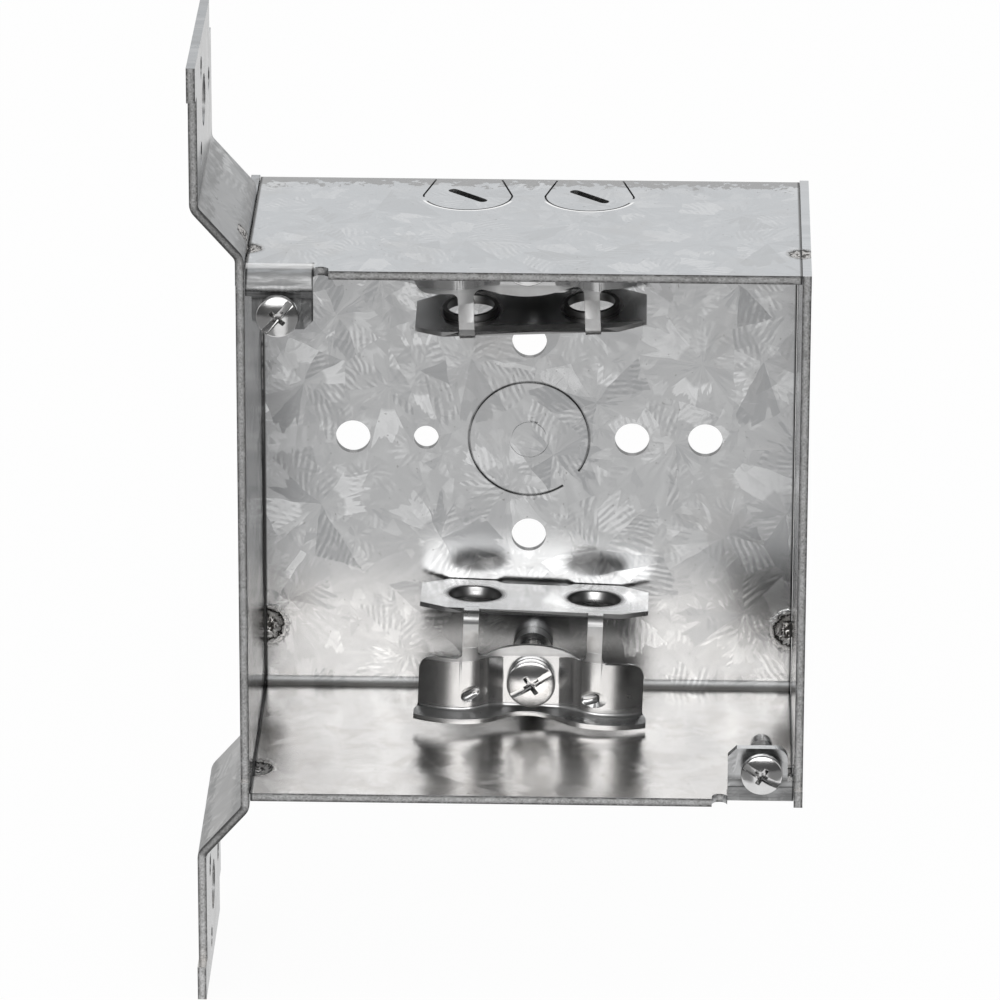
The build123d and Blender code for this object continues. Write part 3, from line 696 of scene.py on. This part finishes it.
def plated(name, level, gloss, grain, plating_of):
    """Bright zinc plate on stampings and screws, with smudges, specks, drawing lines, dark places of
    painted shade and, on the clamps, a dark plate edge.
    """
    tree = Tree(name)
    at = tree.millimetres()
    facing = tree.facing()
    plating = plating_of(tree, at, facing)
    smudge = tree.noise(at, scale=0.25, detail=4.0, roughness=0.6).outputs[0]
    speck = tree.span(tree.noise(at, scale=1.6, detail=2.0).outputs[0], start=0.72, end=0.78)
    lines = tree.noise(tree.vector("MULTIPLY", at, grain), scale=1.0, detail=2.0).outputs[0]
    smudged = tree.span(smudge, start=0.35, end=0.7)
    colour = tree.mix(smudged, grey(level), grey(level * 0.86, warmth=0.01))
    colour = tree.mix(plating.dull, colour, grey(level * 0.8))
    colour = tree.mix(tree.product(speck, times=0.6), colour, grey(0.2, warmth=0.03))
    # Painted shade, and the dark clamp plate edge, from the plating's dark places
    colour = tree.mix(plating.dark, colour, grey(level * 0.18))
    normal = tree.vector("NORMALIZE", tree.vector("ADD", facing, plating.lean))
    roughness = tree.total(
        tree.span(smudge, start=0.3, end=0.75, first=gloss, last=gloss + 0.10),
        plating.rough,
        tree.product(plating.dull, times=0.04),
    )
    pressed = tree.product(plating.press, times=0.32)
    relief = tree.math("SUBTRACT", tree.product(lines, times=0.006), pressed)
    tree.set(
        Base_Color=colour,
        Metallic=1.0,
        Roughness=roughness,
        Normal=tree.bump(relief, depth=1.0, normal=normal),
    )
    return tree.material


def dress(node_name, material, easing):
    """Gives a CAD node its material and eased edges; its own mesh stays as packed."""
    node = nodes[node_name]
    node.data.materials.clear()
    node.data.materials.append(material)
    weld = node.modifiers.new("weld", "WELD")
    weld.merge_threshold = 0.001 * MM
    planes = node.modifiers.new("planes", "DECIMATE")
    planes.decimate_type = "DISSOLVE"
    planes.angle_limit = radians(0.2)
    ease = node.modifiers.new("ease", "BEVEL")
    ease.width = easing * MM
    ease.segments = 2
    ease.limit_method = "ANGLE"
    ease.angle_limit = radians(40)
    smooth = node.modifiers.new("smooth", "WEIGHTED_NORMAL")
    smooth.keep_sharp = False


def loose_object(name, verts, faces):
    mesh = bpy.data.meshes.new(name)
    mesh.from_pydata(verts, [], faces)
    thing = bpy.data.objects.new(name, mesh)
    bpy.context.scene.collection.objects.link(thing)
    return thing


def revolved(profile, around):
    """Vertices and faces of a closed form about Y; the (radius, y) profile starts and ends on the axis."""
    inner = profile[1:-1]
    verts = []
    for radius, y in inner:
        for step in range(around):
            turn = tau * step / around
            verts.append((radius * cos(turn), y, radius * sin(turn)))
    first = len(verts)
    verts.append((0.0, profile[0][1], 0.0))
    verts.append((0.0, profile[-1][1], 0.0))
    faces = []
    for step in range(around):
        after = (step + 1) % around
        faces.append((first, step, after))
        for ring in range(len(inner) - 1):
            low = ring * around
            high = low + around
            faces.append((low + step, high + step, high + after, low + after))
        last = (len(inner) - 1) * around
        faces.append((first + 1, last + after, last + step))
    return verts, faces


def tapered(width, length, top, bottom, share):
    """A block whose floor is smaller than its mouth, as a punch leaves it."""
    verts = []
    for y, size in ((top, 1.0), (bottom, share)):
        for x, z in ((-1, -1), (1, -1), (1, 1), (-1, 1)):
            verts.append((x * length / 2 * size, y, z * width / 2 * size))
    faces = [(0, 1, 2, 3), (7, 6, 5, 4), (0, 4, 5, 1), (1, 5, 6, 2), (2, 6, 7, 3), (3, 7, 4, 0)]
    return verts, faces


def screw_head(radius, height):
    """A domed head with a slot and a cross recess, carved from a turned form."""
    profile = []
    dome_steps = 14
    for step in range(dome_steps + 1):
        reach = step / dome_steps
        profile.append(((radius - head_round) * reach, head_cap * reach**2 - height))
    rim = head_cap - height
    rounded = head_round * head_round_share
    profile += [(radius - rounded, rim + rounded), (radius, rim + head_round)]
    profile += [(radius, -head_chamfer), (radius - head_chamfer, 0.0), (0.0, 0.0)]
    head = loose_object("head", *revolved(profile, around=72))
    top = -height - cutter_rise
    cross_length = cross_length_share * radius
    cross_floor = cross_depth - height
    cuts = {
        "slot": tapered(slot_width, 2 * radius, top, slot_depth - height, share=slot_taper),
        "cross_a": tapered(cross_width, cross_length, top, cross_floor, share=cross_taper),
        "cross_b": tapered(cross_length, cross_width, top, cross_floor, share=cross_taper),
    }
    cutters = [loose_object(name, verts, faces) for name, (verts, faces) in cuts.items()]
    for cutter in cutters:
        cut = head.modifiers.new(cutter.name, "BOOLEAN")
        cut.operation = "DIFFERENCE"
        cut.solver = "EXACT"
        cut.object = cutter
    ease = head.modifiers.new("ease", "BEVEL")
    ease.width = head_easing
    ease.segments = 2
    ease.limit_method = "ANGLE"
    ease.angle_limit = radians(35)
    carved = bpy.data.meshes.new_from_object(head.evaluated_get(bpy.context.evaluated_depsgraph_get()))
    for thing in [head] + cutters:
        bpy.data.objects.remove(thing)
    return carved


def threaded(radius, length, plain):
    """A rolled thread from the head on, then a plain round-ended tip."""
    around = 40
    per_turn = 8
    rings = []
    steps = int((length - plain) / thread_pitch * per_turn)
    for step in range(steps + 1):
        y = step * thread_pitch / per_turn
        ring = []
        for side in range(around):
            phase = (step / per_turn - side / around) % 1.0
            flank = min(max(abs(2 * phase - 1) * flank_slope - flat_share, 0.0), 1.0)
            ring.append((radius - thread_depth * flank, y))
        rings.append(ring)
    tip_radius = radius - tip_step
    bulge = min(plain, tip_radius) * tip_bulge_share
    thread_end = steps * thread_pitch / per_turn
    for y in (thread_end + run_out, length - bulge):
        rings.append([(tip_radius, y)] * around)
    tip_steps = 6
    for step in range(1, tip_steps):
        turn = pi / 2 * step / tip_steps
        rings.append([(tip_radius * cos(turn), length - bulge + bulge * sin(turn))] * around)
    verts = []
    for ring in rings:
        for side, (reach, y) in enumerate(ring):
            turn = tau * side / around
            verts.append((reach * cos(turn), y, reach * sin(turn)))
    faces = []
    for low in range(0, (len(rings) - 1) * around, around):
        for side in range(around):
            after = (side + 1) % around
            faces.append((low + side, low + around + side, low + around + after, low + after))
    last = (len(rings) - 1) * around
    verts.append((0.0, length, 0.0))
    for side in range(around):
        faces.append((len(verts) - 1, last + (side + 1) % around, last + side))
    return verts, faces


def screw(node_name, body, radius, head_height, turn, plain, material):
    """A real screw in a plain CAD screw's place, turned so that its slot lies as in the photograph."""
    low, high = (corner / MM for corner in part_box(node_name))
    head = screw_head((high.x - low.x) / 2, head_height)
    length = high.y - low.y - head_height
    form = bmesh.new()
    form.from_mesh(head)
    shank = bpy.data.meshes.new("shank")
    shank_verts, shank_faces = threaded(radius, length, plain)
    shank.from_pydata(shank_verts, [], shank_faces)
    form.from_mesh(shank)
    bmesh.ops.recalc_face_normals(form, faces=form.faces)
    seat = Vector(((low.x + high.x) / 2, low.y + head_height, (low.z + high.z) / 2))
    placed = Matrix.Translation(seat * MM) @ Matrix.Rotation(radians(turn), 4, "Y") @ Matrix.Scale(MM, 4)
    form.transform(placed)
    mesh = bpy.data.meshes.new(node_name + "_threaded")
    form.to_mesh(mesh)
    form.free()
    bpy.data.meshes.remove(head)
    bpy.data.meshes.remove(shank)
    mesh.polygons.foreach_set("use_smooth", [True] * len(mesh.polygons))
    mesh.set_sharp_from_angle(angle=radians(38))
    mesh.materials.append(material)
    piece = bpy.data.objects.new(mesh.name, mesh)
    bpy.context.scene.collection.objects.link(piece)
    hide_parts(node_name)
    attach(piece, body)


def joint_shade_strip():
    """A dark strip of painted shade that closes the joint's gap between channel and bracket, along the
    bottom wall and up the back, with painted glints speckled over its upper part.
    """
    verts = []
    faces = []
    outer = bracket_high.x
    inner = outer + bracket_gap
    bottom_run = (
        (filler_start, back_inner + filler_overlap),
        (-box_half + filler_inset, -inner_half - filler_inset),
    )
    back_run = (
        (back_inner + filler_inset, box_depth - filler_inset),
        (-inner_half, inner_half),
    )
    for depths, heights in (bottom_run, back_run):
        first = len(verts)
        verts += [(x * MM, y * MM, z * MM) for x in (outer, inner) for y in depths for z in heights]
        sides = [(0, 1, 3, 2), (4, 6, 7, 5), (0, 4, 5, 1), (2, 3, 7, 6), (0, 2, 6, 4), (1, 5, 7, 3)]
        faces += [tuple(first + corner for corner in side) for side in sides]
    filler = loose_object("joint_shade_strip", verts, faces)
    tree = Tree("joint_shade_paint")
    at = tree.millimetres()
    speckle = tree.noise(at, scale=0.6, detail=3.0).outputs[0]
    # Painted glints on the strip's upper part
    upper = tree.span(tree.split(at)[2], start=-5.0, end=30.0)
    painted_glint = tree.product(upper, tree.span(speckle, start=0.35, end=0.6))
    tree.set(Base_Color=tree.mix(painted_glint, grey(0.07), grey(0.8)), Metallic=1.0, Roughness=0.4)
    filler.data.materials.append(tree.material)
    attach(filler, "box")


channel_zinc = galvanised(
    "galvanised_channel", channel_flat, channel_marks, level=1.0, grazing=1.0, matt=0.2, seed=11.0
)
plate_zinc = galvanised(
    "galvanised_plate", plate_flat, side_plate_marks, level=1.0, grazing=1.0, matt=0.13, seed=47.0
)
bracket_zinc = galvanised(
    "galvanised_bracket", plate_flat, bracket_marks, level=0.95, grazing=0.72, matt=0.15, seed=83.0
)
clamp_zinc = plated("clamp_zinc", level=0.72, gloss=0.14, grain=(0.3, 6.0, 6.0), plating_of=clamp_plating)
screw_zinc = plated("screw_zinc", level=0.7, gloss=0.11, grain=(5.0, 5.0, 5.0), plating_of=screw_plating)
dress("body", channel_zinc, easing=0.2)
dress("side_plate", plate_zinc, easing=0.2)
dress("bracket", bracket_zinc, easing=0.2)
joint_shade_strip()
for clamp in ("clamp_upper", "clamp_lower"):
    dress(clamp, clamp_zinc, easing=0.12)
cover_screw = {"radius": 2.08, "head_height": 2.2, "plain": 4.0, "material": screw_zinc}
clamp_screw = {"radius": 2.41, "head_height": 2.7, "plain": 0.6, "material": screw_zinc}
screw("cover_screw_upper", "upper_cover_screw", turn=-50.0, **cover_screw)
screw("cover_screw_lower", "lower_cover_screw", turn=32.0, **cover_screw)
screw("clamp_screw_upper", "upper_clamp_screw", turn=20.0, **clamp_screw)
screw("clamp_screw_lower", "lower_clamp_screw", turn=-33.0, **clamp_screw)


# Stage: a white floor under the bracket's lower tip, and a white world around it
def white_to_view(tree_nodes, tree_links):
    """1 for rays from the camera and from mirror or glass surfaces, 0 for the rest."""
    path = tree_nodes.new("ShaderNodeLightPath")
    share = path.outputs["Is Camera Ray"]
    for ray in ("Is Glossy Ray", "Is Transmission Ray"):
        highest = tree_nodes.new("ShaderNodeMath")
        highest.operation = "MAXIMUM"
        tree_links.new(share, highest.inputs[0])
        tree_links.new(path.outputs[ray], highest.inputs[1])
        share = highest.outputs[0]
    return share


def white_floor():
    half = 3.0
    front = -0.06
    level = cad_box[0].z
    corners = [(-half, front, level), (half, front, level), (half, half, level), (-half, half, level)]
    floor = loose_object("floor", corners, [(0, 1, 2, 3)])
    tree = Tree("floor_white")
    tree.set(Base_Color=grey(0.95), Roughness=0.8)
    glow = tree.add("ShaderNodeEmission", {"Color": grey(1.0), "Strength": 1.0})
    share = tree.product(white_to_view(tree.nodes, tree.links), times=0.95)
    both = tree.add("ShaderNodeMixShader", {0: share, 1: tree.shader.outputs[0], 2: glow.outputs[0]})
    tree.links.new(both.outputs[0], tree.nodes["Material Output"].inputs["Surface"])
    floor.data.materials.append(tree.material)


def white_world(ambient):
    world = bpy.data.worlds.new("studio")
    bpy.context.scene.world = world
    world.use_nodes = True
    tree_nodes = world.node_tree.nodes
    tree_links = world.node_tree.links
    background = tree_nodes["Background"]
    background.inputs["Color"].default_value = grey(1.0)
    strength = tree_nodes.new("ShaderNodeMapRange")
    strength.inputs["To Min"].default_value = ambient
    tree_links.new(white_to_view(tree_nodes, tree_links), strength.inputs["Value"])
    tree_links.new(strength.outputs[0], background.inputs["Strength"])


def softbox(name, place, aim, width, height, radiance):
    """An area lamp whose face looks that bright; its power is spread over the face and half the sky."""
    data = bpy.data.lights.new(name, "AREA")
    data.shape = "RECTANGLE"
    data.size = width
    data.size_y = height
    data.energy = radiance * pi * width * height
    lamp = bpy.data.objects.new(name, data)
    lamp.location = place
    lamp.rotation_euler = (Vector(aim) - Vector(place)).to_track_quat("-Z", "Y").to_euler()
    bpy.context.scene.collection.objects.link(lamp)


def card(name, azimuths, elevations, level):
    """A dull patch of a dome around the box that only the metal sees, put up to shape its reflections."""
    steps = 10
    verts = []
    for row in range(steps + 1):
        elevation = radians(elevations[0] + (elevations[1] - elevations[0]) * row / steps)
        for column in range(steps + 1):
            azimuth = radians(azimuths[0] + (azimuths[1] - azimuths[0]) * column / steps)
            reach = card_distance * cos(elevation)
            rise = card_distance * sin(elevation)
            verts.append((reach * sin(azimuth), -reach * cos(azimuth), rise))
    faces = []
    for row in range(steps):
        for column in range(steps):
            corner = row * (steps + 1) + column
            faces.append((corner, corner + 1, corner + steps + 2, corner + steps + 1))
    patch = loose_object(name, verts, faces)
    tree = Tree(name)
    tree.set(Base_Color=grey(level), Roughness=0.9)
    patch.data.materials.append(tree.material)
    patch.visible_camera = False
    patch.visible_shadow = False
    patch.visible_diffuse = False


def camera():
    data = bpy.data.cameras.new("camera")
    data.sensor_width = camera_sensor
    data.lens = camera_lens
    data.clip_end = 10 * camera_distance
    back = Vector(
        (
            sin(camera_azimuth) * cos(camera_elevation),
            -cos(camera_azimuth) * cos(camera_elevation),
            sin(camera_elevation),
        )
    )
    aim = (-back).to_track_quat("-Z", "Y").to_matrix().to_4x4()
    eye = bpy.data.objects.new("camera", data)
    place = Matrix.Translation(camera_target + camera_distance * back)
    eye.matrix_world = place @ aim @ Matrix.Rotation(camera_roll, 4, "Z")
    bpy.context.scene.collection.objects.link(eye)
    bpy.context.scene.camera = eye


white_floor()
white_world(ambient=0.75)
softbox("key", place=(0.0, -1.65, 0.88), aim=(0.0, 0.0, 0.0), width=1.85, height=1.05, radiance=2.2)
card("horizon_card", azimuths=(-80, 80), elevations=(-13, 9), level=0.1)
card("ceiling_card", azimuths=(-80, 80), elevations=(47, 78), level=0.25)
card("left_wing_card", azimuths=(-80, -32), elevations=(9, 47), level=0.3)
card("right_wing_card", azimuths=(32, 80), elevations=(9, 47), level=0.3)
card("left_card", azimuths=(-80, -15), elevations=(-70, -13), level=0.35)
card("right_card", azimuths=(15, 80), elevations=(-70, -13), level=0.35)
camera()
bpy.context.scene.view_settings.view_transform = "Standard"
